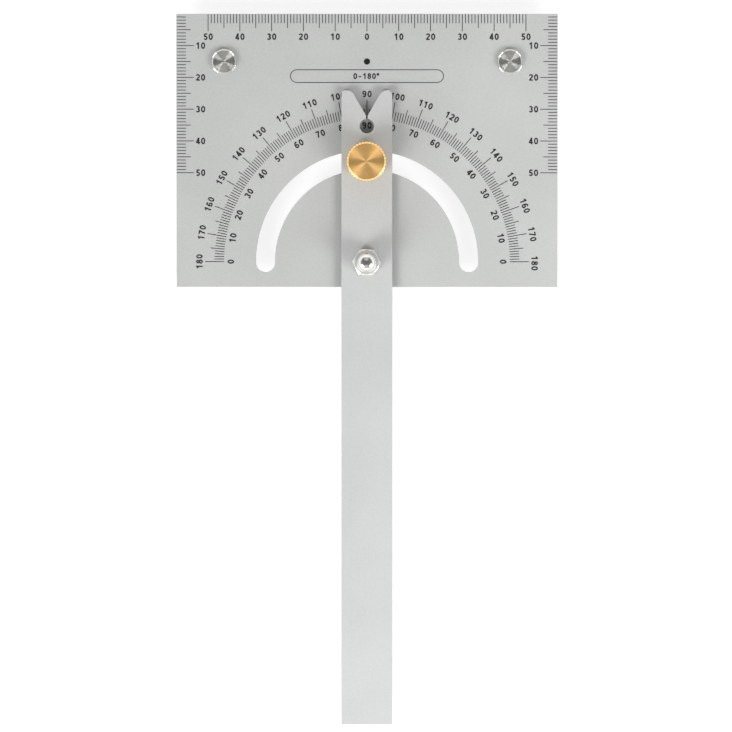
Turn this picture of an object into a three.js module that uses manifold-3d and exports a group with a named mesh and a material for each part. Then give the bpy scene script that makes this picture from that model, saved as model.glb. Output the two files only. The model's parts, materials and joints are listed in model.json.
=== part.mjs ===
// A flat steel protractor: a graduated rectangular head, an arm that swings across its face on a
// pivot, and a knurled brass nut that locks the arm anywhere along an arc slot in the head.
//
// Millimetres, +Z up. The tool lies on its back, with the head's face up and the arm's long end
// along -Y. Everything is drawn about the pivot's axis and the whole is then moved, so that the
// origin is the middle of the footprint, on the surface that the tool rests on.

import * as THREE from "three";
import { mergeVertices } from "three/addons/utils/BufferGeometryUtils.js";
import Module from "manifold-3d";

// Driving dimensions.
const HEAD = { width: 120, height: 86, thick: 1.5, belowPivot: 8 };
const SLOT = { radius: 32, width: 6, overrunDegrees: 0.6 };
const LOCK_RADIUS = 31.75;
const CENTRE_MARK = { radius: 1, fromTop: 15, depth: 1.2, pointDegrees: 118 };
const ARM = { width: 16, abovePivot: 54, belowPivot: 146, thick: 1.5, endRadius: 0.4 };
const NOTCH = { bottom: 46.1, halfAngleDegrees: 30, slitWidth: 0.55, innerRadius: 2.9, outerRadius: 1.4 };
const WINDOW = { fromPivot: 42.7, radius: 2.25 };

// Fasteners. M5 at the pivot and the lock, M4 at the pegs; threads are plain cylinders.
const M5 = { shank: 2.5, tapped: 2.6, running: 2.58, clear: 2.65, pitch: 0.8 };
const M4 = { shank: 2, tapped: 2.1, clear: 2.2 };
const WASHER = { radius: 5, thick: 1 };
const SPACER = { radius: 5, thick: 0.4 };
const WAVE_WASHER = { radius: 4.75, thick: 0.3, rise: 0.15, waves: 3, steps: 48 };
const PIVOT_SCREW = { headRadius: 4.75, headHeight: 3, headRounding: 1.5, length: 12 };
const LOCK_SCREW = { headRadius: 4.5, headHeight: 2.5, headRounding: 1.2, length: 10 };
const CROSS_RECESS = { width: 1.1, span: 4.6, depth: 1.6 };
const CAP_NUT = { acrossFlats: 8, hexHeight: 4, height: 9, domeRadius: 3.75, boreDepth: 6.6, turnDegrees: -2.5 };
const KNOB = { radius: 6.25, height: 6, collarRadius: 4.5, collarHeight: 1, chamfer: 0.6, boreDepth: 4.8 };
const KNURL = { teeth: 36, depth: 0.45, tipShare: 0.3 };
const PEG = { radius: 4, spacing: 90, fromTop: 15, chamfer: 0.3, boreDepth: 3.5, slotWidth: 1, slotDepth: 0.8 };
const PEG_SCREW = { headHeight: 1, length: 5 };

// Faces that bear on each other are drawn this far apart.
const GAP = 0.1;

// Round shapes are drawn with chords no further than this from the true curve.
const CHORD_ERROR = 0.012;

// Cutters run past the faces that they open by this much.
const CUT_PAST = 1;

// Heights of the stack, from the surface under the tool up to the arm's face.
const waveWasherHeight = WAVE_WASHER.thick + 2 * WAVE_WASHER.rise;
const waveWasherZ = PIVOT_SCREW.headHeight + GAP;
const backWasherZ = waveWasherZ + waveWasherHeight + GAP;
const headZ = backWasherZ + WASHER.thick + GAP;
const headTopZ = headZ + HEAD.thick;
const spacerZ = headTopZ + GAP;
const armZ = spacerZ + SPACER.thick + GAP;
const armTopZ = armZ + ARM.thick;
const frontWasherZ = armTopZ + GAP;
const knobZ = frontWasherZ + WASHER.thick + GAP;
const lockHeadZ = backWasherZ - GAP - LOCK_SCREW.headHeight;

const headTopY = HEAD.height - HEAD.belowPivot;
const pegY = headTopY - PEG.fromTop;
const lockAt = new THREE.Vector2(0, LOCK_RADIUS);
const pivotAt = new THREE.Vector2(0, 0);

const wasm = await Module();
wasm.setup();

// ---- Drawing and joining -------------------------------------------------------------------

// The number of chords that an arc of this radius and angle needs.
function chords(radius, angle) {
  const widest = 2 * Math.acos(1 - CHORD_ERROR / radius);
  return Math.max(2, Math.ceil(Math.abs(angle) / widest));
}

// Points along an arc, both ends included, from one angle to another in radians.
function arc(centre, radius, from, to) {
  const steps = chords(radius, to - from);
  return Array.from({ length: steps + 1 }, (_, i) => {
    const angle = from + ((to - from) * i) / steps;
    return new THREE.Vector2(centre.x + radius * Math.cos(angle), centre.y + radius * Math.sin(angle));
  });
}

function circle(centre, radius) {
  return arc(centre, radius, 0, 2 * Math.PI).slice(0, -1);
}

// The same arc as [radius, height] pairs, for the profile of a turned solid.
function profileArc(centre, radius, from, to) {
  return arc(centre, radius, from, to).map(({ x, y }) => [x, y]);
}

// The arc that rounds the corner at b of the path a, b, c.
function fillet(a, b, c, radius) {
  const inward = a.clone().sub(b).normalize();
  const outward = c.clone().sub(b).normalize();
  const half = inward.angleTo(outward) / 2;
  const middle = inward.clone().add(outward).normalize();
  const centre = b.clone().addScaledVector(middle, radius / Math.sin(half));
  const start = b.clone().addScaledVector(inward, radius / Math.tan(half)).sub(centre).angle();
  const end = b.clone().addScaledVector(outward, radius / Math.tan(half)).sub(centre).angle();
  const turn = Math.atan2(Math.sin(end - start), Math.cos(end - start));
  return arc(centre, radius, start, start + turn);
}

// A flat shape between two heights.
function slab(outline, holes, bottom, top) {
  const shape = new THREE.Shape(outline);
  shape.holes = holes.map((points) => new THREE.Path(points));
  const geometry = new THREE.ExtrudeGeometry(shape, { depth: top - bottom, bevelEnabled: false });
  return geometry.translate(0, 0, bottom);
}

// A solid turned about a vertical axis at `at`, from a profile of [radius, height] pairs.
function turned(profile, at) {
  const widest = Math.max(...profile.map(([radius]) => radius));
  const points = profile.map(([radius, height]) => new THREE.Vector2(radius, height));
  const geometry = new THREE.LatheGeometry(points, chords(widest, 2 * Math.PI));
  return geometry.rotateX(Math.PI / 2).translate(at.x, at.y, 0);
}

function box(width, depth, height, at, bottom) {
  return new THREE.BoxGeometry(width, depth, height).translate(at.x, at.y, bottom + height / 2);
}

function solid(geometry) {
  const bare = new THREE.BufferGeometry();
  bare.setAttribute("position", (geometry.index ? geometry.toNonIndexed() : geometry).getAttribute("position"));
  const merged = mergeVertices(bare, 1e-4);
  const vertProperties = merged.getAttribute("position").array;
  const triVerts = new Uint32Array(merged.index.array);
  return new wasm.Manifold(new wasm.Mesh({ numProp: 3, vertProperties, triVerts }));
}

function geometryOf(joined) {
  const mesh = joined.getMesh();
  const geometry = new THREE.BufferGeometry();
  geometry.setAttribute("position", new THREE.BufferAttribute(mesh.vertProperties, 3));
  geometry.setIndex(new THREE.BufferAttribute(mesh.triVerts, 1));
  geometry.computeVertexNormals();
  return geometry;
}

// ---- Materials -----------------------------------------------------------------------------

function material(color, roughness, metalness) {
  return new THREE.MeshStandardMaterial({ color, roughness, metalness });
}
const satinSteel = material(0xc9cbca, 0.4, 1);
const brightSteel = material(0xd6d6d0, 0.15, 1);
const zincSteel = material(0xb9bcbe, 0.3, 1);
const springSteel = material(0x8a8c8e, 0.35, 1);
const brass = material(0xd2a256, 0.25, 1);
const nylon = material(0xe8e6dc, 0.6, 0);

// ---- Head ----------------------------------------------------------------------------------

function arcSlot() {
  const overrun = THREE.MathUtils.degToRad(SLOT.overrunDegrees);
  const [first, last] = [-overrun, Math.PI + overrun];
  const half = SLOT.width / 2;
  const endAt = (angle) => new THREE.Vector2(SLOT.radius * Math.cos(angle), SLOT.radius * Math.sin(angle));
  return [
    ...arc(pivotAt, SLOT.radius + half, first, last),
    ...arc(endAt(last), half, last, last + Math.PI).slice(1, -1),
    ...arc(pivotAt, SLOT.radius - half, last, first),
    ...arc(endAt(first), half, first - Math.PI, first).slice(1, -1),
  ];
}

function headPlate() {
  const halfWidth = HEAD.width / 2;
  const outline = [
    new THREE.Vector2(-halfWidth, -HEAD.belowPivot),
    new THREE.Vector2(halfWidth, -HEAD.belowPivot),
    new THREE.Vector2(halfWidth, headTopY),
    new THREE.Vector2(-halfWidth, headTopY),
  ];
  const holes = [
    arcSlot(),
    circle(pivotAt, M5.clear),
    ...[-1, 1].map((side) => circle(new THREE.Vector2((side * PEG.spacing) / 2, pegY), M4.clear)),
  ];
  return geometryOf(solid(slab(outline, holes, headZ, headTopZ)).subtract(centreMark()));
}

// The cutter for the drilled mark in the head's face, which doesn't go through.
function centreMark() {
  const { radius, fromTop, depth, pointDegrees } = CENTRE_MARK;
  const tip = headTopZ - depth;
  const point = radius / Math.tan(THREE.MathUtils.degToRad(pointDegrees / 2));
  const profile = [
    [0, tip],
    [radius, tip + point],
    [radius, headTopZ + CUT_PAST],
    [0, headTopZ + CUT_PAST],
  ];
  return solid(turned(profile, new THREE.Vector2(0, headTopY - fromTop)));
}

// ---- Arm -----------------------------------------------------------------------------------

// The arm's top end is a fork: a V that narrows to a slit, which opens into a round window.
function armOutline() {
  const halfWidth = ARM.width / 2;
  const halfSlit = NOTCH.slitWidth / 2;
  const notchHeight = ARM.abovePivot - NOTCH.bottom;
  const mouth = halfSlit + notchHeight * Math.tan(THREE.MathUtils.degToRad(NOTCH.halfAngleDegrees));
  const windowAt = new THREE.Vector2(0, WINDOW.fromPivot);
  const slitAngle = Math.asin(halfSlit / WINDOW.radius);

  const rightFoot = new THREE.Vector2(halfWidth, -ARM.belowPivot);
  const rightShoulder = new THREE.Vector2(halfWidth, ARM.abovePivot);
  const rightTip = new THREE.Vector2(mouth, ARM.abovePivot);
  const notchEnd = new THREE.Vector2(halfSlit, NOTCH.bottom);
  const mirror = ({ x, y }) => new THREE.Vector2(-x, y);

  const rightSide = [
    ...fillet(mirror(rightFoot), rightFoot, rightShoulder, ARM.endRadius),
    ...fillet(rightFoot, rightShoulder, rightTip, NOTCH.outerRadius),
    ...fillet(rightShoulder, rightTip, notchEnd, NOTCH.innerRadius),
    notchEnd,
  ];
  const windowEdge = arc(windowAt, WINDOW.radius, Math.PI / 2 - slitAngle, slitAngle - 1.5 * Math.PI);
  return [...rightSide, ...windowEdge, ...rightSide.map(mirror).reverse()];
}

function arm() {
  return slab(armOutline(), [circle(pivotAt, M5.running), circle(lockAt, M5.clear)], armZ, armTopZ);
}

// ---- Fasteners -----------------------------------------------------------------------------

function ring(radius, bore, at, bottom, thick) {
  return slab(circle(at, radius), [circle(at, bore)], bottom, bottom + thick);
}

// A ring whose faces rise and fall in even waves, so that it springs.
function waveWasher() {
  const { radius, thick, rise, waves, steps } = WAVE_WASHER;
  const positions = [];
  const faces = [];
  for (let i = 0; i < steps; i += 1) {
    const angle = (2 * Math.PI * i) / steps;
    const middle = waveWasherZ + waveWasherHeight / 2 + rise * Math.sin(waves * angle);
    const corners = [[M5.clear, -1], [radius, -1], [radius, 1], [M5.clear, 1]];
    for (const [r, side] of corners) {
      positions.push(r * Math.cos(angle), r * Math.sin(angle), middle + (side * thick) / 2);
    }
    for (let c = 0; c < 4; c += 1) {
      const here = [4 * i + c, 4 * i + ((c + 1) % 4)];
      const next = here.map((index) => (index + 4) % (4 * steps));
      faces.push(here[0], next[0], next[1], here[0], next[1], here[1]);
    }
  }
  const geometry = new THREE.BufferGeometry();
  geometry.setAttribute("position", new THREE.Float32BufferAttribute(positions, 3));
  geometry.setIndex(faces);
  geometry.computeVertexNormals();
  return geometry;
}

// A screw that points up, its low pan head underneath with a cross recess in it.
function panScrew({ headRadius, headHeight, headRounding, length }, at, bottom) {
  const seat = bottom + headHeight;
  const tip = seat + length;
  const rounding = new THREE.Vector2(headRadius - headRounding, bottom + headRounding);
  const profile = [
    [0, bottom],
    ...profileArc(rounding, headRounding, -Math.PI / 2, 0),
    [headRadius, seat],
    [M5.shank, seat],
    [M5.shank, tip - M5.pitch / 2],
    [M5.shank - M5.pitch / 2, tip],
    [0, tip],
  ];
  const { width, span, depth } = CROSS_RECESS;
  const recess = solid(box(width, span, 2 * depth, at, bottom - depth)).add(
    solid(box(span, width, 2 * depth, at, bottom - depth)),
  );
  return geometryOf(solid(turned(profile, at)).subtract(recess));
}

// The cutter for a blind bore, which starts a little below the face that it opens in.
function bore(radius, at, face, depth) {
  const [start, end] = [face - CUT_PAST, face + depth];
  return solid(turned([[0, start], [radius, start], [radius, end], [0, end]], at));
}

// A domed nut: a hexagon with its corners turned off, and a round dome over a blind bore.
function capNut() {
  const { acrossFlats, hexHeight, height, domeRadius, boreDepth, turnDegrees } = CAP_NUT;
  const z = frontWasherZ;
  const cornerRadius = acrossFlats / Math.sqrt(3);
  const flatRadius = acrossFlats / 2;
  const cut = (cornerRadius - flatRadius) / Math.sqrt(3);
  const hexagon = Array.from({ length: 6 }, (_, i) => {
    const angle = (i * Math.PI) / 3 + THREE.MathUtils.degToRad(turnDegrees);
    return new THREE.Vector2(cornerRadius * Math.cos(angle), cornerRadius * Math.sin(angle));
  });
  const limits = [
    [0, z],
    [flatRadius, z],
    [cornerRadius, z + cut],
    [cornerRadius, z + hexHeight - cut],
    [flatRadius, z + hexHeight],
    [0, z + hexHeight],
  ];
  const domeBase = z + height - domeRadius;
  const dome = [
    [0, z + hexHeight / 2],
    [domeRadius, z + hexHeight / 2],
    ...profileArc(new THREE.Vector2(0, domeBase), domeRadius, 0, Math.PI / 2).slice(0, -1),
    [0, z + height],
  ];
  const body = solid(slab(hexagon, [], z, z + hexHeight)).intersect(solid(turned(limits, pivotAt)));
  return geometryOf(body.add(solid(turned(dome, pivotAt))).subtract(bore(M5.tapped, pivotAt, z, boreDepth)));
}

// The knurled outline: straight teeth, each with a narrow land at its tip.
function knurlOutline(at) {
  const pitch = (2 * Math.PI) / KNURL.teeth;
  const points = [];
  for (let i = 0; i < KNURL.teeth; i += 1) {
    const middle = i * pitch;
    const land = (KNURL.tipShare * pitch) / 2;
    for (const [radius, angle] of [
      [KNOB.radius, middle - land],
      [KNOB.radius, middle + land],
      [KNOB.radius - KNURL.depth, middle + pitch / 2],
    ]) {
      points.push(new THREE.Vector2(at.x + radius * Math.cos(angle), at.y + radius * Math.sin(angle)));
    }
  }
  return points;
}

function lockKnob() {
  const { radius, height, collarRadius, collarHeight, chamfer, boreDepth } = KNOB;
  const [rimZ, topZ] = [knobZ + collarHeight, knobZ + height];
  const limits = [
    [0, knobZ],
    [collarRadius, knobZ],
    [collarRadius, rimZ],
    [radius - chamfer, rimZ],
    [radius, rimZ + chamfer],
    [radius, topZ - chamfer],
    [radius - chamfer, topZ],
    [0, topZ],
  ];
  const body = solid(slab(knurlOutline(lockAt), [], knobZ, topZ)).intersect(solid(turned(limits, lockAt)));
  return geometryOf(body.subtract(bore(M5.tapped, lockAt, knobZ, boreDepth)));
}

// A turned peg under the head, with a screwdriver slot in its foot and a blind bore from above.
function peg(at) {
  const { radius, chamfer, boreDepth, slotWidth, slotDepth } = PEG;
  const top = headZ - GAP;
  const profile = [
    [0, 0],
    [radius - chamfer, 0],
    [radius, chamfer],
    [radius, top],
    [M4.tapped, top],
    [M4.tapped, top - boreDepth],
    [0, top - boreDepth],
  ];
  const slot = solid(box(3 * radius, slotWidth, 2 * slotDepth, at, -slotDepth));
  return geometryOf(solid(turned(profile, at)).subtract(slot));
}

// The peg's screw: a flat turned button on the head's face, with its shank down through the head.
function pegScrew(at) {
  const { radius, chamfer } = PEG;
  const seat = headTopZ + GAP;
  const top = seat + PEG_SCREW.headHeight;
  return turned(
    [
      [0, seat - PEG_SCREW.length],
      [M4.shank, seat - PEG_SCREW.length],
      [M4.shank, seat],
      [radius, seat],
      [radius, top - chamfer],
      [radius - chamfer, top],
      [0, top],
    ],
    at,
  );
}

// ---- Assembly ------------------------------------------------------------------------------

const protractor = new THREE.Group();
protractor.position.set(0, (ARM.belowPivot - headTopY) / 2, 0);

function place(name, geometry, finish) {
  const mesh = new THREE.Mesh(geometry, finish);
  mesh.name = name;
  protractor.add(mesh);
}

place("head_plate", headPlate(), satinSteel);
place("arm", arm(), satinSteel);

place("pivot_screw", panScrew(PIVOT_SCREW, pivotAt, 0), zincSteel);
place("pivot_wave_washer", waveWasher(), springSteel);
place("pivot_back_washer", ring(WASHER.radius, M5.clear, pivotAt, backWasherZ, WASHER.thick), zincSteel);
place("pivot_spacer", ring(SPACER.radius, M5.clear, pivotAt, spacerZ, SPACER.thick), nylon);
place("pivot_cap_nut", capNut(), brightSteel);

place("lock_screw", panScrew(LOCK_SCREW, lockAt, lockHeadZ), zincSteel);
place("lock_back_washer", ring(WASHER.radius, M5.clear, lockAt, backWasherZ, WASHER.thick), zincSteel);
place("lock_spacer", ring(SPACER.radius, M5.clear, lockAt, spacerZ, SPACER.thick), nylon);
place("knob_washer", ring(WASHER.radius, M5.clear, lockAt, frontWasherZ, WASHER.thick), brass);
place("lock_knob", lockKnob(), brass);

for (const [side, sign] of [["left", -1], ["right", 1]]) {
  const at = new THREE.Vector2((sign * PEG.spacing) / 2, pegY);
  place(`${side}_peg`, peg(at), brightSteel);
  place(`${side}_peg_screw`, pegScrew(at), brightSteel);
}

export default protractor;
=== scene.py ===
"""A flat steel protractor with a brass locking knob, lying face up on a white studio floor.

Lengths are in metres, in the part's own frame: the head's face looks along +Z, and the arm's
long end points along -Y. MM turns a size in millimetres into metres.
"""

import json
import math

import bmesh
import bpy
from mathutils import Matrix, Vector
from mathutils.geometry import delaunay_2d_cdt

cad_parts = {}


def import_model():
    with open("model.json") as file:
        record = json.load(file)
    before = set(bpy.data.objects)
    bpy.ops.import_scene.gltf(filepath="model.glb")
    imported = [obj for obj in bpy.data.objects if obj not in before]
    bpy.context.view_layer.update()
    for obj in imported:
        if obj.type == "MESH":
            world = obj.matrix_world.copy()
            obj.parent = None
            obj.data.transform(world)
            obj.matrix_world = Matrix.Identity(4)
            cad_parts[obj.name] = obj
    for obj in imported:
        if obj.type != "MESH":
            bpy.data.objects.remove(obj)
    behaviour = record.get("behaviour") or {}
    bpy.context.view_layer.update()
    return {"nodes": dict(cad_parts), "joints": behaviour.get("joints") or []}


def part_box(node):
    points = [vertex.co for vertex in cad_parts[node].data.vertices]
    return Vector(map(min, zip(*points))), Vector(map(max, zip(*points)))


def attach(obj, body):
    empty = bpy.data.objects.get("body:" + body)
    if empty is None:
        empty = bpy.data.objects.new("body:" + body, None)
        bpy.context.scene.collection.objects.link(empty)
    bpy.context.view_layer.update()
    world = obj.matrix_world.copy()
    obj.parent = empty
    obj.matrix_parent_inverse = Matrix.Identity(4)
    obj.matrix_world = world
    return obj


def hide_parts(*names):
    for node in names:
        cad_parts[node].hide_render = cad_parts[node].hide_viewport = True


MM = 0.001

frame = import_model()
joints = {joint["name"]: joint for joint in frame["joints"]}

# ---- Places, all from the frame ------------------------------------------------------------------

head_low, head_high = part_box("head_plate")
pivot_axis = Vector(joints["arm_swing"]["pos_m"]).xy
lock_axis = Vector(joints["knob_turn"]["pos_m"]).xy
face_z = head_high.z

# ---- The scales on the head's face ---------------------------------------------------------------

# Every tenth mark has a figure.
LABEL_STEP = 10
TICK_WIDTH = 0.24 * MM
TICK_LENGTHS = {10: 5.5 * MM, 5: 4.5 * MM, 1: 3.0 * MM}
EDGE_MARGIN = 0.12 * MM
INK_DEPTH = 0.01 * MM
INK_RISE = 0.012 * MM

TOP_SCALE_REACH = 50
TOP_LABEL_DROP = 7.2 * MM
SIDE_SCALE_REACH = 50
SIDE_LABEL_INSET = 7.6 * MM

DEGREE_RADIUS = 45 * MM
DEGREE_LENGTHS = {10: 6.0 * MM, 5: 4.4 * MM, 1: 3.0 * MM}
OUTER_LABEL_RADIUS = 52.8 * MM
INNER_LABEL_RADIUS = 42.9 * MM
# The outer figures right of 90 stand this far clockwise of their lines.
RIGHT_LABEL_SHIFT = 0.45 * MM

# A figure's width, its step to the next and its stroke are shares of its height.
CAP_HEIGHT = 2.1 * MM
GLYPH_WIDTH = 0.64
GLYPH_ADVANCE = 0.775
STROKE = 0.21

LEGEND_DROP = 19.6 * MM
LEGEND_SIZE = (48.2 * MM, 4.0 * MM)
LEGEND_LINE = 0.25 * MM
LEGEND_CAP_HEIGHT = 1.9 * MM

ARC_STEP_DEGREES = 20
SAME_POINT = 1e-6
# Marks whose lengths agree to this many decimals share one shape.
LENGTH_DECIMALS = 7
UNION_TOLERANCE = 1e-5
FACET_ANGLE = math.radians(1)
# At a sharp corner the mitre is cut off at one over this times the stroke's half width.
MITRE_LIMIT = 0.5


def arc(x, y, radius_x, radius_y, start, end):
    """Points of an elliptical arc, from start to end in degrees."""
    steps = max(2, math.ceil(abs(end - start) / ARC_STEP_DEGREES))
    angles = [math.radians(start + (end - start) * i / steps) for i in range(steps + 1)]
    return [Vector((x + radius_x * math.cos(a), y + radius_y * math.sin(a))) for a in angles]


def line(*points):
    """The corners of a line, as points."""
    return [Vector(point) for point in points]


def glyph_strokes():
    """The centre lines of each character's strokes, for a capital height of 1."""
    low, high = STROKE / 2, 1 - STROKE / 2
    left, right = STROKE / 2, GLYPH_WIDTH - STROKE / 2
    middle = GLYPH_WIDTH / 2
    wide = (right - left) / 2
    six = [
        arc(middle, 0.31, wide, 0.31 - low, 0, 360),
        arc(middle + 0.02, 0.43, wide + 0.02, high - 0.43, 185, 50),
    ]
    return {
        "0": [arc(middle, 0.5, wide, high - 0.5, 0, 360)],
        "1": [line((0.38, 0), (0.38, 1)), line((0.10, 0.70), (0.24, 0.78), (0.36, 0.90))],
        "2": [
            arc(middle, 0.70, wide, high - 0.70, 170, -35) + line((left + 0.04, low + 0.03)),
            line((left - 0.06, low), (right + 0.08, low)),
        ],
        "3": [
            arc(middle - 0.02, 0.72, wide - 0.02, high - 0.72, 155, -90),
            arc(middle - 0.02, 0.30, wide, 0.30 - low, 90, -155),
        ],
        "4": [
            line((0.43, 0), (0.43, 1)),
            line((0.02, 0.27), (0.63, 0.27)),
            line((0.10, 0.29), (0.40, 0.91)),
        ],
        "5": [
            line((0.15, high), (right + 0.04, high)),
            line((0.205, high), (0.15, 0.47)),
            arc(middle - 0.01, 0.32, wide, 0.32 - low, 135, -150),
        ],
        "6": six,
        "7": [
            line((0.04, high), (right + 0.07, high)),
            line((right, high - 0.03), (0.36, 0.45), (0.26, 0)),
        ],
        "8": [
            arc(middle, 0.725, wide - 0.03, high - 0.725, 0, 360),
            arc(middle, 0.30, wide, 0.30 - low, 0, 360),
        ],
        "9": [[Vector((GLYPH_WIDTH, 1)) - point for point in stroke] for stroke in six],
        "-": [line((0.10, 0.42), (GLYPH_WIDTH - 0.10, 0.42))],
        "°": [arc(0.20, 0.80, 0.12, 0.12, 0, 360)],
    }


def ribbon(points, width):
    """Quads of a band of even width along a line, which closes if its ends meet."""
    closed = (points[0] - points[-1]).length < SAME_POINT
    count = len(points) - 1 if closed else len(points)
    sides = []
    for i in range(count):
        before = points[(i - 1) % count] if closed or i else points[i]
        after = points[(i + 1) % count] if closed or i < count - 1 else points[i]
        first = (points[i] - before) if before != points[i] else (after - points[i])
        second = (after - points[i]) if after != points[i] else first
        normal = (first.normalized() + second.normalized()).orthogonal().normalized()
        mitre = normal / max(MITRE_LIMIT, normal.dot(first.orthogonal().normalized()))
        sides.append((points[i] + mitre * width / 2, points[i] - mitre * width / 2))
    pairs = range(count) if closed else range(count - 1)
    return [(*sides[i], *reversed(sides[(i + 1) % count])) for i in pairs]


def flat_union(quads):
    """One flat mesh, as vertices and triangles, of all that the quads cover."""
    corners = [corner for quad in quads for corner in quad]
    faces = [list(range(4 * i, 4 * i + 4)) for i in range(len(quads))]
    inside_only = 1
    found = delaunay_2d_cdt(corners, [], faces, inside_only, UNION_TOLERANCE)
    vertices, triangles, sources = found[0], found[2], found[5]
    return vertices, [tri for tri, source in zip(triangles, sources) if source]


def prism(vertices, triangles, thickness):
    """A closed prism between z = 0 and the thickness, over a flat mesh joined into few faces."""
    mesh = bmesh.new()
    corners = [mesh.verts.new((*vertex, 0)) for vertex in vertices]
    for triangle in triangles:
        mesh.faces.new([corners[i] for i in triangle])
    loose = [vertex for vertex in mesh.verts if not vertex.link_faces]
    bmesh.ops.delete(mesh, geom=loose, context="VERTS")
    bmesh.ops.dissolve_limit(mesh, angle_limit=FACET_ANGLE, verts=mesh.verts, edges=mesh.edges)
    base = mesh.faces[:]
    raised = bmesh.ops.extrude_face_region(mesh, geom=base, use_keep_orig=True)["geom"]
    lifted = [item for item in raised if isinstance(item, bmesh.types.BMVert)]
    bmesh.ops.translate(mesh, verts=lifted, vec=(0, 0, thickness))
    bmesh.ops.recalc_face_normals(mesh, faces=mesh.faces)
    return mesh


class Ink:
    """Marks filled flush into the head's face, gathered into one mesh."""

    def __init__(self):
        self.mesh = bmesh.new()
        self.shapes = {}

    def shape(self, key, quads):
        """Keeps a prism of these quads, in the face's own plane, to be stamped later."""
        if key not in self.shapes:
            made = bpy.data.meshes.new(str(key))
            solid = prism(*flat_union(quads), 1)
            solid.to_mesh(made)
            solid.free()
            self.shapes[key] = made
        return self.shapes[key]

    def stamp(self, shape, at, angle=0.0, scale=1.0):
        """Adds a copy of a shape at a point of the face, turned and scaled in its plane."""
        place = Matrix.Translation((*at, face_z - INK_DEPTH)) @ Matrix.Rotation(angle, 4, "Z")
        size = Matrix.Diagonal((scale, scale, INK_DEPTH + INK_RISE, 1))
        first = len(self.mesh.verts)
        self.mesh.from_mesh(shape)
        self.mesh.verts.ensure_lookup_table()
        for vertex in self.mesh.verts[first:]:
            vertex.co = place @ size @ vertex.co

    def stroke(self, start, end, width):
        """Adds a straight mark between two points of the face."""
        middle, along = (start + end) / 2, end - start
        quads = [rectangle(along.length, width)]
        shape = self.shape(("bar", round(along.length, LENGTH_DECIMALS), width), quads)
        self.stamp(shape, middle, math.atan2(along.y, along.x))

    def text(self, words, at, angle=0.0, cap_height=CAP_HEIGHT):
        """Writes words centred on a point of the face."""
        strokes = glyph_strokes()
        width = GLYPH_WIDTH + (len(words) - 1) * GLYPH_ADVANCE
        turn = Matrix.Rotation(angle, 2)
        for i, letter in enumerate(words):
            quads = [quad for stroke in strokes[letter] for quad in ribbon(stroke, STROKE)]
            corner = Vector((i * GLYPH_ADVANCE - width / 2, -0.5)) * cap_height
            self.stamp(self.shape(letter, quads), at + turn @ corner, angle, cap_height)

    def piece(self, name, material):
        """Makes one object of all the marks, which rides on the head."""
        return new_piece(name, self.mesh, [material], "head")


def rectangle(length, width):
    """The corners of a rectangle about the origin."""
    x, y = length / 2, width / 2
    return line((-x, -y), (x, -y), (x, y), (-x, y))


def longest(count, lengths):
    """The mark's length: the largest step that divides the count has the longest."""
    return next(length for step, length in lengths.items() if count % step == 0)


def millimetre_scales(lines, figures):
    """The scale along the head's top edge, both ways from the middle, and one down each side."""
    top = head_high.y
    for count in range(-TOP_SCALE_REACH, TOP_SCALE_REACH + 1):
        x = count * MM
        lines.stroke(
            Vector((x, top - EDGE_MARGIN)),
            Vector((x, top - longest(count, TICK_LENGTHS))),
            TICK_WIDTH,
        )
        if count % LABEL_STEP == 0:
            figures.text(str(abs(count)), Vector((x, top - TOP_LABEL_DROP)))
    for side, edge in ((1, head_low.x), (-1, head_high.x)):
        for count in range(1, SIDE_SCALE_REACH + 1):
            y = top - count * MM
            lines.stroke(
                Vector((edge + side * EDGE_MARGIN, y)),
                Vector((edge + side * longest(count, TICK_LENGTHS), y)),
                TICK_WIDTH,
            )
            if count % LABEL_STEP == 0:
                figures.text(str(count), Vector((edge + side * SIDE_LABEL_INSET, y)))


def degree_scale(lines, figures):
    """The half circle of degrees about the pivot, with figures outside and inside it."""
    for count in range(181):
        angle = math.radians(count)
        outward = Vector((math.cos(angle), math.sin(angle)))
        length = longest(count, DEGREE_LENGTHS)
        lines.stroke(
            pivot_axis + outward * DEGREE_RADIUS,
            pivot_axis + outward * (DEGREE_RADIUS + length),
            TICK_WIDTH,
        )
        if count % LABEL_STEP == 0:
            from_middle = abs(count - 90)
            upright = angle - math.pi / 2
            outer = pivot_axis + outward * OUTER_LABEL_RADIUS
            if count < 90:
                outer -= outward.orthogonal() * RIGHT_LABEL_SHIFT
            inner = pivot_axis + outward * INNER_LABEL_RADIUS
            figures.text(str(90 + from_middle), outer, upright)
            figures.text(str(90 - from_middle), inner, upright)


def legend(lines, figures):
    """A plain outlined panel that gives the scale's range."""
    centre = Vector((0, head_high.y - LEGEND_DROP))
    length, height = LEGEND_SIZE
    radius = height / 2
    straight = length / 2 - radius
    outline = arc(straight, 0, radius, radius, -90, 90) + arc(-straight, 0, radius, radius, 90, 270)
    outline.append(outline[0])
    lines.stamp(lines.shape("legend", ribbon(outline, LEGEND_LINE)), centre)
    figures.text("0-180°", centre, cap_height=LEGEND_CAP_HEIGHT)


# ---- Turned pieces -------------------------------------------------------------------------------

# A face looks up if its normal's height is over this.
LEVEL = 0.99
MERGE_DISTANCE = 1e-7


def new_piece(name, mesh, materials, body, smooth_degrees=None):
    """A new object from a bmesh, which rides on a body. A second material goes on faces that look up."""
    if len(materials) > 1:
        for face in mesh.faces:
            face.material_index = int(face.normal.z > LEVEL)
    data = bpy.data.meshes.new(name)
    mesh.to_mesh(data)
    mesh.free()
    for material in materials:
        data.materials.append(material)
    piece = bpy.data.objects.new(name, data)
    bpy.context.scene.collection.objects.link(piece)
    if smooth_degrees:
        data.polygons.foreach_set("use_smooth", [True] * len(data.polygons))
        data.set_sharp_from_angle(angle=math.radians(smooth_degrees))
    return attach(piece, body)


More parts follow.
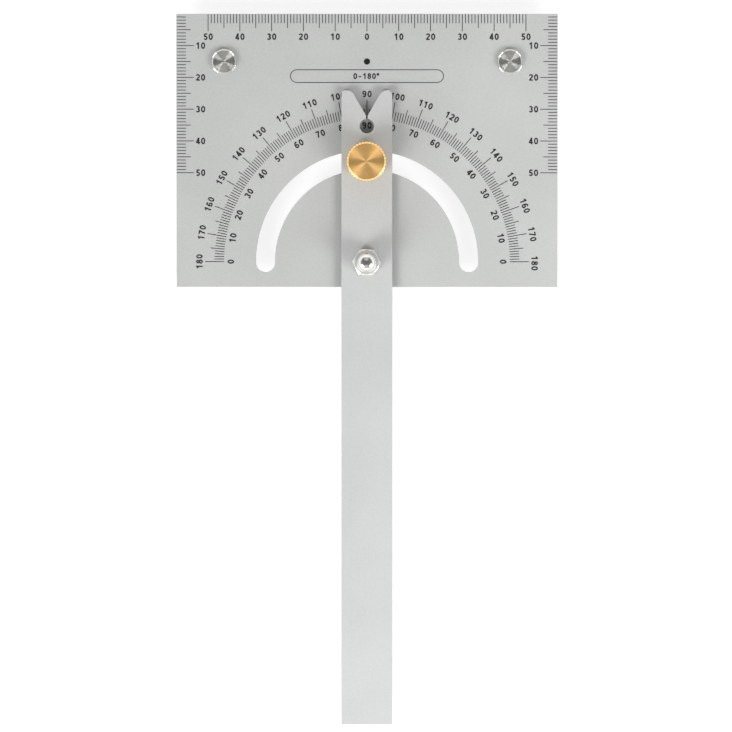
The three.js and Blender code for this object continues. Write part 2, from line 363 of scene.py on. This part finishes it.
def loft(rings, axis):
    """A mesh through rings of (angle, radius, z) points about a vertical axis. Its ends are on it."""
    mesh = bmesh.new()
    rows = [
        [mesh.verts.new((axis.x + r * math.cos(a), axis.y + r * math.sin(a), z)) for a, r, z in points]
        for points in rings
    ]
    for lower, upper in zip(rows, rows[1:]):
        for i in range(len(lower)):
            j = (i + 1) % len(lower)
            mesh.faces.new((lower[i], lower[j], upper[j], upper[i]))
    bmesh.ops.remove_doubles(mesh, verts=mesh.verts, dist=MERGE_DISTANCE)
    bmesh.ops.recalc_face_normals(mesh, faces=mesh.faces)
    return mesh


def ring(steps, radius, z):
    """One ring of a loft. Radius and z are numbers, or functions of the angle."""
    points = []
    for i in range(steps):
        angle = 2 * math.pi * i / steps
        r = radius(angle) if callable(radius) else radius
        height = z(angle) if callable(z) else z
        points.append((angle, r, height))
    return points


def clipped_prism(steps, outline, end_radius, slope, low, high):
    """Rings of a prism of any outline, whose ends are turned down to a cone."""

    def drop(angle):
        return (outline(angle) - end_radius) * slope

    return [
        ring(steps, end_radius, low),
        ring(steps, outline, lambda angle: low + drop(angle)),
        ring(steps, outline, lambda angle: high - drop(angle)),
        ring(steps, end_radius, high),
    ]


def grooved_face(steps, outer, z, pitch, depth):
    """Rings of a faced-off end, whose shallow grooves run in to a small level middle."""
    rings = []
    grooves = int((outer - pitch) / pitch)
    for i in range(grooves):
        radius = outer - i * pitch
        rings.append(ring(steps, radius, z))
        rings.append(ring(steps, radius - pitch / 2, z - depth))
    rings.append(ring(steps, outer - grooves * pitch, z))
    rings.append(ring(steps, 0, z))
    return rings


KNOB_TEETH = 36
STEPS_PER_TOOTH = 8
KNURL_DEPTH = 0.45 * MM
KNURL_LAND = 0.25
KNOB_CHAMFER = 0.6 * MM
KNOB_CHAMFER_SLOPE = 0.75
KNOB_COLLAR_RADIUS = 4.5 * MM
KNOB_COLLAR_HEIGHT = 1.0 * MM
M5_BORE_RADIUS = 2.6 * MM
KNOB_BORE_DEPTH = 4.8 * MM
KNOB_EASE = 0.05 * MM
# A turned piece's small chamfers have this width.
EASE = 0.12 * MM
TURNING_PITCH = 0.35 * MM
TURNING_DEPTH = 0.006 * MM
SMOOTH_DEGREES = 20


def knurl(radius):
    """The outline of a straight knurl, with a narrow land on each tooth."""

    def outline(angle):
        share = (angle * KNOB_TEETH / (2 * math.pi)) % 1
        from_tip = min(share, 1 - share) * 2
        return radius - KNURL_DEPTH * max(0, from_tip - KNURL_LAND) / (1 - KNURL_LAND)

    return outline


def lock_knob(materials):
    """The knurled nut: a collar with a blind bore, a chamfered knurl and a turned face."""
    low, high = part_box("lock_knob")
    radius = (high.x - low.x) / 2
    rim = low.z + KNOB_COLLAR_HEIGHT
    steps = KNOB_TEETH * STEPS_PER_TOOTH
    rings = [
        ring(steps, 0, low.z + KNOB_BORE_DEPTH),
        ring(steps, M5_BORE_RADIUS, low.z + KNOB_BORE_DEPTH),
        ring(steps, M5_BORE_RADIUS, low.z + EASE),
        ring(steps, M5_BORE_RADIUS + EASE, low.z),
        ring(steps, KNOB_COLLAR_RADIUS - EASE, low.z),
        ring(steps, KNOB_COLLAR_RADIUS, low.z + EASE),
        ring(steps, KNOB_COLLAR_RADIUS, rim - EASE),
        ring(steps, KNOB_COLLAR_RADIUS + EASE, rim),
        *clipped_prism(steps, knurl(radius), radius - KNOB_CHAMFER, KNOB_CHAMFER_SLOPE, rim, high.z),
        *grooved_face(steps, radius - KNOB_CHAMFER - EASE, high.z, TURNING_PITCH, TURNING_DEPTH),
    ]
    piece = new_piece("lock_knob_turned", loft(rings, lock_axis), materials, "knob", SMOOTH_DEGREES)
    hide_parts("lock_knob")
    soften(piece, KNOB_EASE)


STEPS_PER_FLAT = 16
NUT_FLATS = 8 * MM
NUT_END_RADIUS = 3.78 * MM
NUT_HEX_HEIGHT = 4 * MM
NUT_BORE_DEPTH = 6.6 * MM
DOME_RADIUS = 3.75 * MM
DOME_RINGS = 16
NUT_TURN = math.radians(-2.5)
NUT_CONE_SLOPE = math.tan(math.pi / 6)
NUT_EASE = 0.07 * MM


def hexagon(angle):
    """The outline of a hexagon whose corners are turned a little from the X axis."""
    from_flat = (angle - NUT_TURN) % (math.pi / 3) - math.pi / 6
    return NUT_FLATS / 2 / math.cos(from_flat)


def cap_nut(material):
    """The domed nut on the pivot: a hexagon turned down at both ends, a dome and a blind bore."""
    low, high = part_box("pivot_cap_nut")
    shoulder = low.z + NUT_HEX_HEIGHT
    centre = high.z - DOME_RADIUS
    steps = 6 * STEPS_PER_FLAT
    dome = []
    for i in range(DOME_RINGS + 1):
        angle = math.pi / 2 * i / DOME_RINGS
        dome.append(ring(steps, DOME_RADIUS * math.cos(angle), centre + DOME_RADIUS * math.sin(angle)))
    rings = [
        ring(steps, 0, low.z + NUT_BORE_DEPTH),
        ring(steps, M5_BORE_RADIUS, low.z + NUT_BORE_DEPTH),
        ring(steps, M5_BORE_RADIUS, low.z),
        *clipped_prism(steps, hexagon, NUT_END_RADIUS, NUT_CONE_SLOPE, low.z, shoulder),
        ring(steps, DOME_RADIUS + EASE, shoulder),
        ring(steps, DOME_RADIUS, shoulder + EASE),
        *dome,
    ]
    mesh = loft(rings, pivot_axis)
    piece = new_piece("pivot_cap_nut_polished", mesh, [material], "head", SMOOTH_DEGREES)
    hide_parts("pivot_cap_nut")
    soften(piece, NUT_EASE)


MARK_STEPS = 48
MARK_DROP = 15 * MM
MARK_RADIUS = 1 * MM
MARK_DEPTH = 1.2 * MM
MARK_POINT = math.radians(118)
MARK_UNFILLED = 0.45 * MM
MARK_SMOOTH_DEGREES = 30


def centre_mark(material):
    """Painted shade: a black fill in the bottom of the drilled mark at the middle of the head, standing
    in for the shade seen down the hole.
    """
    radius = MARK_RADIUS - INK_DEPTH
    tip = face_z - MARK_DEPTH + INK_DEPTH
    rings = [
        ring(MARK_STEPS, 0, tip),
        ring(MARK_STEPS, radius, tip + radius / math.tan(MARK_POINT / 2)),
        ring(MARK_STEPS, radius, face_z - MARK_UNFILLED),
        ring(MARK_STEPS, 0, face_z - MARK_UNFILLED),
    ]
    axis = Vector((0, head_high.y - MARK_DROP))
    new_piece("head_centre_hole_painted_shade", loft(rings, axis), [material], "head", MARK_SMOOTH_DEGREES)


BUTTON_STEPS = 128
BUTTON_BEAD = 0.2 * MM
BEAD_DEGREES = 135
BEAD_STEP_DEGREES = 15
BUTTON_RECESS = 0.3 * MM
PEG_SHANK_RADIUS = 2 * MM
PEG_BUTTON_HEIGHT = 1.0 * MM


def peg_button(side, materials):
    """The button on the head's face: a turned face, dished inside a bright rounded rim."""
    node = f"{side}_peg_screw"
    low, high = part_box(node)
    axis = ((low + high) / 2).xy
    radius = (high.x - low.x) / 2
    seat = high.z - PEG_BUTTON_HEIGHT
    steps = BUTTON_STEPS
    bead = []
    for degrees in range(0, BEAD_DEGREES + 1, BEAD_STEP_DEGREES):
        angle = math.radians(degrees)
        outward, upward = BUTTON_BEAD * math.cos(angle), BUTTON_BEAD * math.sin(angle)
        bead.append(ring(steps, radius - BUTTON_BEAD + outward, high.z - BUTTON_BEAD + upward))
    # The bead stops at a slope of 45 degrees, this far down and in, and the slope runs on to the face.
    bead_end = BUTTON_BEAD * (1 - math.sqrt(0.5))
    face = radius - 2 * BUTTON_BEAD + bead_end - (BUTTON_RECESS - bead_end)
    rings = [
        ring(steps, 0, low.z),
        ring(steps, PEG_SHANK_RADIUS - EASE, low.z),
        ring(steps, PEG_SHANK_RADIUS, low.z + EASE),
        ring(steps, PEG_SHANK_RADIUS, seat),
        ring(steps, radius - EASE, seat),
        ring(steps, radius, seat + EASE),
        *bead,
        *grooved_face(steps, face, high.z - BUTTON_RECESS, TURNING_PITCH, TURNING_DEPTH),
    ]
    piece = new_piece(f"{side}_peg_button", loft(rings, axis), materials, "head", SMOOTH_DEGREES)
    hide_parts(node)


# ---- Edges ---------------------------------------------------------------------------------------

EASED_SEGMENTS = 2
SHARP_ANGLE = math.radians(35)
WELD_DISTANCE = 1e-6
FLAT_ANGLE = math.radians(0.5)


def soften(piece, width):
    """Rounds a piece's sharp edges by a hair, as deburring does."""
    bevel = piece.modifiers.new("Eased edges", "BEVEL")
    bevel.width = width
    bevel.segments = EASED_SEGMENTS
    bevel.limit_method = "ANGLE"
    bevel.angle_limit = SHARP_ANGLE
    bevel.harden_normals = True


def finish_node(node, material, width):
    """Gives a carried-over piece its material, joins its flat faces and eases its edges."""
    piece = frame["nodes"][node]
    piece.data.materials.clear()
    piece.data.materials.append(material)
    weld = piece.modifiers.new("Weld", "WELD")
    weld.merge_threshold = WELD_DISTANCE
    flatten = piece.modifiers.new("Flatten", "DECIMATE")
    flatten.decimate_type = "DISSOLVE"
    flatten.angle_limit = FLAT_ANGLE
    soften(piece, width)


# ---- Materials -----------------------------------------------------------------------------------

# Most of a noise's values lie between these.
NOISE_RANGE = (0.3, 0.7)
# A quarter turn lays the streaks of a turned face along its circles.
QUARTER_TURN = 0.25


class Surface:
    """A material under construction, with short ways to add the nodes that it needs."""

    def __init__(self, name, color, metallic, roughness):
        self.material = bpy.data.materials.new(name)
        self.material.use_nodes = True
        self.tree = self.material.node_tree
        self.shader = self.tree.nodes["Principled BSDF"]
        self.shader.inputs["Base Color"].default_value = (*color, 1)
        self.shader.inputs["Metallic"].default_value = metallic
        self.shader.inputs["Roughness"].default_value = roughness
        self.coordinates = self.tree.nodes.new("ShaderNodeTexCoord")
        self.place = self.coordinates.outputs["Object"]
        self.color = None
        self.normal = None

    def node(self, kind, **settings):
        """Adds a node with these settings."""
        made = self.tree.nodes.new(kind)
        for key, value in settings.items():
            setattr(made, key, value)
        return made

    def link(self, output, target):
        """Joins an output to an input."""
        self.tree.links.new(output, target)

    def noise(self, size, detail=3.0):
        """Noise between 0 and 1, whose features are about this size."""
        scaled = self.node("ShaderNodeMapping")
        scaled.inputs["Scale"].default_value = (1 / size,) * 3
        made = self.node("ShaderNodeTexNoise")
        made.inputs["Scale"].default_value = 1
        made.inputs["Detail"].default_value = detail
        self.link(self.place, scaled.inputs["Vector"])
        self.link(scaled.outputs["Vector"], made.inputs["Vector"])
        return made.outputs["Fac"]

    def spread(self, value, low, high):
        """Maps the middle of a noise's range to between two numbers."""
        made = self.node("ShaderNodeMapRange")
        made.inputs["From Min"].default_value = NOISE_RANGE[0]
        made.inputs["From Max"].default_value = NOISE_RANGE[1]
        made.inputs["To Min"].default_value = low
        made.inputs["To Max"].default_value = high
        self.link(value, made.inputs["Value"])
        return made.outputs["Result"]

    def calculate(self, operation, first, second=None):
        """One step of arithmetic on sockets or plain numbers."""
        made = self.node("ShaderNodeMath", operation=operation)
        for value, target in zip((first, second), made.inputs):
            if isinstance(value, (int, float)):
                target.default_value = value
            elif value is not None:
                self.link(value, target)
        return made.outputs["Value"]

    def vary_color(self, value, dark, light):
        """Takes the colour from dark to light over the middle of the value's range."""
        ramp = self.node("ShaderNodeValToRGB")
        for stop, position, color in zip(ramp.color_ramp.elements, NOISE_RANGE, (dark, light)):
            stop.position = position
            stop.color = (*color, 1)
        self.link(value, ramp.inputs["Fac"])
        self.color = ramp.outputs["Color"]
        self.link(self.color, self.shader.inputs["Base Color"])

    def darken_sides(self, share):
        """Painted shade: scales the colour by this share on upright faces, so that the walls of holes,
        slits and notches read dark.
        """
        parts = self.node("ShaderNodeSeparateXYZ")
        self.link(self.coordinates.outputs["Normal"], parts.inputs["Vector"])
        level = self.calculate("ABSOLUTE", parts.outputs["Z"])
        scale = self.calculate("ADD", self.calculate("MULTIPLY", level, 1 - share), share)
        scaled = self.node("ShaderNodeVectorMath", operation="SCALE")
        self.link(self.color, scaled.inputs["Vector"])
        self.link(scale, scaled.inputs["Scale"])
        self.link(scaled.outputs["Vector"], self.shader.inputs["Base Color"])

    def vary_roughness(self, value, low, high):
        """Takes the roughness from low to high over the middle of the value's range."""
        self.link(self.spread(value, low, high), self.shader.inputs["Roughness"])

    def bump(self, height, depth, strength=1.0):
        """Adds a relief of this depth on top of what is there already."""
        made = self.node("ShaderNodeBump")
        made.inputs["Strength"].default_value = strength
        made.inputs["Distance"].default_value = depth
        self.link(height, made.inputs["Height"])
        if self.normal:
            self.link(self.normal, made.inputs["Normal"])
        self.normal = made.outputs["Normal"]
        self.link(self.normal, self.shader.inputs["Normal"])

    def turned(self, axis, pitch, depth, anisotropy):
        """Fine tool marks in circles about a vertical axis."""
        parts = self.node("ShaderNodeSeparateXYZ")
        self.link(self.place, parts.inputs["Vector"])
        x = self.calculate("SUBTRACT", parts.outputs["X"], axis.x)
        y = self.calculate("SUBTRACT", parts.outputs["Y"], axis.y)
        squares = self.calculate(
            "ADD", self.calculate("MULTIPLY", x, x), self.calculate("MULTIPLY", y, y)
        )
        radius = self.calculate("SQRT", squares)
        phase = self.calculate("MULTIPLY", radius, 2 * math.pi / pitch)
        self.bump(self.calculate("SINE", phase), depth)
        tangent = self.node("ShaderNodeTangent", direction_type="RADIAL", axis="Z")
        self.link(tangent.outputs["Tangent"], self.shader.inputs["Tangent"])
        self.shader.inputs["Anisotropic"].default_value = anisotropy
        self.shader.inputs["Anisotropic Rotation"].default_value = QUARTER_TURN


# The plates' colours, and the directions in which painted light makes them brighter.
HEAD_TINT = (0.67, 0.68, 0.67)
HEAD_PAINTED_LIGHT_SLOPE = (1.9, -1.5, 0)
ARM_TINT = (0.69, 0.70, 0.693)
ARM_PAINTED_LIGHT_SLOPE = (0, -1.2, 0)
SHADE_SPREAD = 0.06
BLOTCH_SIZE = 28 * MM
BLOTCH_SHARE = 0.5
GRAIN_SIZE = 0.35 * MM
WAVINESS_SIZE = 1.6 * MM
# How dark the painted shade on the plates' upright faces is, and how dark the plates are when they are
# seen at a low angle.
UPRIGHT_PAINTED_SHADE = 0.4
GRAZING_TINT = 0.4


def satin_steel(name, tint, painted_light_slope):
    """Fine matt steel with faint broad blotches and a painted light gradient, brighter along a vector.

    The blotches and the painted light take the colour over NOISE_RANGE, from SHADE_SPREAD darker than
    the tint to as much brighter, and the painted light rises by the vector's length for each metre along
    it.
    """
    surface = Surface(name, tint, metallic=1, roughness=0.5)
    surface.shader.inputs["Specular Tint"].default_value = (GRAZING_TINT,) * 3 + (1,)
    blotches = surface.calculate("MULTIPLY", surface.noise(BLOTCH_SIZE, detail=2), BLOTCH_SHARE)
    centred = surface.calculate("ADD", blotches, (1 - BLOTCH_SHARE) / 2)
    # Painted light: this dot product brightens the plate steadily along a fixed direction, standing in
    # for the lamps' falloff across it.
    along = surface.node("ShaderNodeVectorMath", operation="DOT_PRODUCT")
    surface.link(surface.place, along.inputs[0])
    along.inputs[1].default_value = painted_light_slope
    shade = surface.calculate("ADD", centred, along.outputs["Value"])
    dark = [value * (1 - SHADE_SPREAD) for value in tint]
    light = [value * (1 + SHADE_SPREAD) for value in tint]
    surface.vary_color(shade, dark, light)
    grain = surface.noise(GRAIN_SIZE, detail=4)
    surface.vary_roughness(grain, 0.78, 0.88)
    # Painted shade: upright faces are darkened so that the window, slit and notch look dark.
    surface.darken_sides(UPRIGHT_PAINTED_SHADE)
    surface.bump(grain, depth=0.004 * MM, strength=0.6)
    surface.bump(surface.noise(WAVINESS_SIZE), depth=0.006 * MM, strength=0.5)
    return surface.material


def turned_steel(name, axis):
    """Bright steel with fine turning marks about an axis."""
    surface = Surface(name, (0.93, 0.93, 0.88), metallic=1, roughness=0.3)
    surface.vary_roughness(surface.noise(0.8 * MM), 0.27, 0.33)
    surface.turned(axis, pitch=0.12 * MM, depth=0.0004 * MM, anisotropy=0.99)
    return surface.material


def polished_steel():
    """Bright plated steel with a very faint ripple."""
    surface = Surface("polished_steel", (0.68, 0.68, 0.655), metallic=0.88, roughness=0.2)
    surface.vary_roughness(surface.noise(1.2 * MM), 0.06, 0.1)
    surface.bump(surface.noise(0.5 * MM), depth=0.001 * MM, strength=0.4)
    return surface.material


def bright_rim():
    """The smooth rounded rim of the turned buttons."""
    surface = Surface("turned_steel_rim", (0.74, 0.74, 0.71), metallic=1, roughness=0.14)
    surface.vary_roughness(surface.noise(0.6 * MM), 0.1, 0.18)
    return surface.material


PLAIN_BRASS_ROUGHNESS = 0.22
TURNED_BRASS_ROUGHNESS = 0.5
BRASS_ROUGHNESS_SPREAD = 0.04


def brass(name, roughness):
    """Brass, not yet finished, so that turning marks can be added."""
    surface = Surface(name, (0.97, 0.61, 0.24), metallic=1, roughness=roughness)
    surface.vary_color(surface.noise(2.5 * MM), (0.94, 0.58, 0.21), (1.0, 0.64, 0.265))
    spread = BRASS_ROUGHNESS_SPREAD
    surface.vary_roughness(surface.noise(0.6 * MM), roughness - spread, roughness + spread)
    return surface


def turned_brass():
    """The knob's face, with fine turning marks."""
    surface = brass("brass_turned", TURNED_BRASS_ROUGHNESS)
    surface.turned(lock_axis, pitch=0.13 * MM, depth=0.001 * MM, anisotropy=0.84)
    return surface.material


def zinc_steel():
    """Zinc plate, a little blotchy, on the screws and washers."""
    surface = Surface("zinc_steel", (0.56, 0.58, 0.60), metallic=1, roughness=0.32)
    surface.vary_color(surface.noise(1.5 * MM), (0.52, 0.54, 0.57), (0.60, 0.62, 0.64))
    surface.vary_roughness(surface.noise(0.5 * MM), 0.28, 0.4)
    return surface.material


def spring_steel():
    """Dark oiled steel."""
    surface = Surface("spring_steel", (0.34, 0.34, 0.35), metallic=1, roughness=0.35)
    surface.vary_roughness(surface.noise(0.7 * MM), 0.3, 0.45)
    return surface.material


def nylon():
    """Off-white plastic, through which a little light passes."""
    surface = Surface("nylon", (0.80, 0.79, 0.74), metallic=0, roughness=0.55)
    surface.shader.inputs["Subsurface Weight"].default_value = 0.2
    surface.shader.inputs["Subsurface Radius"].default_value = (0.5 * MM, 0.4 * MM, 0.3 * MM)
    surface.vary_roughness(surface.noise(0.4 * MM), 0.5, 0.62)
    return surface.material


def etched_black():
    """The black filling of the marks and figures, also used as painted shade at the bottom of the centre
    hole.
    """
    surface = Surface("etched_black", (0.02, 0.02, 0.02), metallic=0, roughness=0.7)
    surface.shader.inputs["Specular IOR Level"].default_value = 0.25
    surface.vary_color(surface.noise(0.5 * MM), (0.014, 0.014, 0.014), (0.03, 0.03, 0.03))
    surface.vary_roughness(surface.noise(0.3 * MM), 0.62, 0.78)
    return surface.material


# ---- Studio --------------------------------------------------------------------------------------

# The camera's distance, and how far it leans to the north and to the east.
CAMERA_RANGE = 2.5
CAMERA_TILT = (math.radians(2.5), math.radians(1))
# Blender takes a sensor and a lens in millimetres.
SENSOR_WIDTH = 36
VIEW_WIDTH = 230.7 * MM
VIEW_CENTRE = Vector((-0.3 * MM, 1.1 * MM))
CLIP_RANGE = (0.01, 50)
FLOOR_SIZE = 12
FLOOR_GLOW = 0.75

# Each light's place, its width and height, and its power in watts.
LIGHT_TARGET = Vector((0, 0.02, 0))
SOFTBOX_SIZE = (1.15, 1.15)
CARD_SIZE = (1.8, 2.3)
LIGHTS = {
    "left_softbox": ((-1.56, -1.42, 1.44), SOFTBOX_SIZE, 41),
    "right_softbox": ((1.72, -1.18, 1.44), SOFTBOX_SIZE, 36.5),
    "front_card": ((0, -1.9, 1.9), CARD_SIZE, 6.2),
    "back_card": ((0, 1.9, 2.0), CARD_SIZE, 6.2),
}

# The surroundings' brightness by height: 0 is the horizon, and 1 is straight above.
SKY = {0.0: 0.4, 0.1: 0.5, 0.16: 0.85, 0.46: 0.85, 0.56: 0.3, 0.7: 0.1, 1.0: 0.05}
SKY_STRENGTH = 1.6


def camera():
    """A long lens almost straight above the tool, a little towards its graduated edge and right."""
    data = bpy.data.cameras.new("camera")
    data.sensor_width = SENSOR_WIDTH
    data.lens = SENSOR_WIDTH * CAMERA_RANGE / VIEW_WIDTH
    data.clip_start, data.clip_end = CLIP_RANGE
    made = bpy.data.objects.new("camera", data)
    north, east = CAMERA_TILT
    made.rotation_euler = (-north, east, 0)
    backward = made.rotation_euler.to_matrix() @ Vector((0, 0, 1))
    made.location = Vector((*VIEW_CENTRE, face_z)) + CAMERA_RANGE * backward
    bpy.context.scene.collection.objects.link(made)
    bpy.context.scene.camera = made


def softbox(name, place, size, power):
    """A flat light of this width and height, aimed at the tool."""
    data = bpy.data.lights.new(name, "AREA")
    data.shape = "RECTANGLE"
    data.size, data.size_y = size
    data.energy = power
    made = bpy.data.objects.new(name, data)
    made.location = place
    made.rotation_euler = (LIGHT_TARGET - Vector(place)).to_track_quat("-Z", "Y").to_euler()
    bpy.context.scene.collection.objects.link(made)


def floor():
    """A white table, lit from inside so that it stays white under the tool."""
    surface = Surface("white_floor", (0.32, 0.32, 0.32), metallic=0, roughness=0.7)
    surface.shader.inputs["Emission Color"].default_value = (1, 1, 1, 1)
    surface.shader.inputs["Emission Strength"].default_value = FLOOR_GLOW
    surface.vary_roughness(surface.noise(50 * MM), 0.68, 0.74)
    mesh = bmesh.new()
    bmesh.ops.create_grid(mesh, x_segments=1, y_segments=1, size=FLOOR_SIZE / 2)
    data = bpy.data.meshes.new("floor")
    mesh.to_mesh(data)
    mesh.free()
    data.materials.append(surface.material)
    made = bpy.data.objects.new("floor", data)
    bpy.context.scene.collection.objects.link(made)


def world():
    """Light walls around the table, and a dark ceiling above the camera."""
    made = bpy.data.worlds.new("studio")
    made.use_nodes = True
    nodes, links = made.node_tree.nodes, made.node_tree.links
    direction = nodes.new("ShaderNodeTexCoord").outputs["Generated"]
    parts = nodes.new("ShaderNodeSeparateXYZ")
    ramp = nodes.new("ShaderNodeValToRGB")
    stops = ramp.color_ramp.elements
    for height in list(SKY)[len(stops) :]:
        stops.new(height)
    for stop, (height, level) in zip(stops, SKY.items()):
        stop.position = height
        stop.color = (level, level, level, 1)
    links.new(direction, parts.inputs["Vector"])
    links.new(parts.outputs["Z"], ramp.inputs["Fac"])
    links.new(ramp.outputs["Color"], nodes["Background"].inputs["Color"])
    nodes["Background"].inputs["Strength"].default_value = SKY_STRENGTH
    bpy.context.scene.world = made


camera()
world()
floor()
for name, (place, size, power) in LIGHTS.items():
    softbox(name, place, size, power)
bpy.context.scene.view_settings.view_transform = "Standard"

# ---- Build ---------------------------------------------------------------------------------------

EASED_EDGE = 0.1 * MM
EASED_TURNED_STEEL = 0.08 * MM
EASED_THIN_WASHER = 0.05 * MM
EASED_ARM = 0.04 * MM

ink_and_hole_shade = etched_black()
lines, figures = Ink(), Ink()
millimetre_scales(lines, figures)
degree_scale(lines, figures)
legend(lines, figures)
lines.piece("head_scale_lines", ink_and_hole_shade)
figures.piece("head_scale_figures", ink_and_hole_shade)
# Painted shade: a black fill in the centre hole, where there is only shade.
centre_mark(ink_and_hole_shade)

plain_brass = brass("brass", PLAIN_BRASS_ROUGHNESS).material
zinc = zinc_steel()
nylon_material = nylon()
finish_node("head_plate", satin_steel("satin_steel_head", HEAD_TINT, HEAD_PAINTED_LIGHT_SLOPE), EASED_EDGE)
finish_node("arm", satin_steel("satin_steel_arm", ARM_TINT, ARM_PAINTED_LIGHT_SLOPE), EASED_ARM)
for bolt in ("pivot", "lock"):
    finish_node(f"{bolt}_screw", zinc, EASED_TURNED_STEEL)
    finish_node(f"{bolt}_back_washer", zinc, EASED_EDGE)
    finish_node(f"{bolt}_spacer", nylon_material, EASED_THIN_WASHER)
finish_node("pivot_wave_washer", spring_steel(), EASED_THIN_WASHER)
finish_node("knob_washer", plain_brass, EASED_EDGE)
lock_knob([plain_brass, turned_brass()])
cap_nut(polished_steel())
rim = bright_rim()
for side in ("left", "right"):
    low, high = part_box(f"{side}_peg")
    steel = turned_steel(f"turned_steel_{side}", ((low + high) / 2).xy)
    finish_node(f"{side}_peg", steel, EASED_TURNED_STEEL)
    peg_button(side, [rim, steel])
